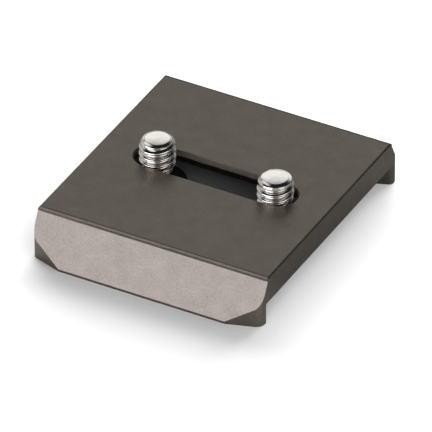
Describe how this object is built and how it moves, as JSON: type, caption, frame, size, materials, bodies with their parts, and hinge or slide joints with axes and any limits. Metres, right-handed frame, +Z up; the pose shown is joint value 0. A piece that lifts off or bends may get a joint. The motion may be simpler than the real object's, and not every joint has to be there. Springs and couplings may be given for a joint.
{
  "type": "tripod quick release plate",
  "caption": "Dovetail quick release plate with a flat camera face, a screw slot, tapered feet and captive slotted camera screws with soft washers.",
  "frame": {"origin": "under the middle of the plate, on the surface that the feet stand on", "axes": "+Z up out of the camera face, +X along the screw slot and along the feet, +Y across the feet towards the rear foot"},
  "size_m": [0.043, 0.052, 0.0124],
  "materials": {
    "anodised_body": "bead blasted and anodised, dark brown grey",
    "screw_steel": "turned and polished stainless steel",
    "washer_rubber": "matt black"
  },
  "bodies": {
    "plate": {"plate": "anodised_body"},
    "left_washer": {"left_washer": "washer_rubber"},
    "left_screw": {"left_screw": "screw_steel"},
    "right_washer": {"right_washer": "washer_rubber"},
    "right_screw": {"right_screw": "screw_steel"}
  },
  "joints": [
    {"name": "left_slide", "type": "slide", "parent": "plate", "child": "left_washer", "axis": [1, 0, 0], "range_m": [-0.0008, 0.0059]},
    {"name": "left_turn", "type": "hinge", "parent": "left_washer", "child": "left_screw", "pos_m": [-0.011, 0, 0], "axis": [0, 0, 1], "continuous": true},
    {"name": "right_slide", "type": "slide", "parent": "plate", "child": "right_washer", "axis": [1, 0, 0], "range_m": [-0.0061, 0.0006]},
    {"name": "right_turn", "type": "hinge", "parent": "right_washer", "child": "right_screw", "pos_m": [0.0112, 0, 0], "axis": [0, 0, 1], "continuous": true}
  ]
}
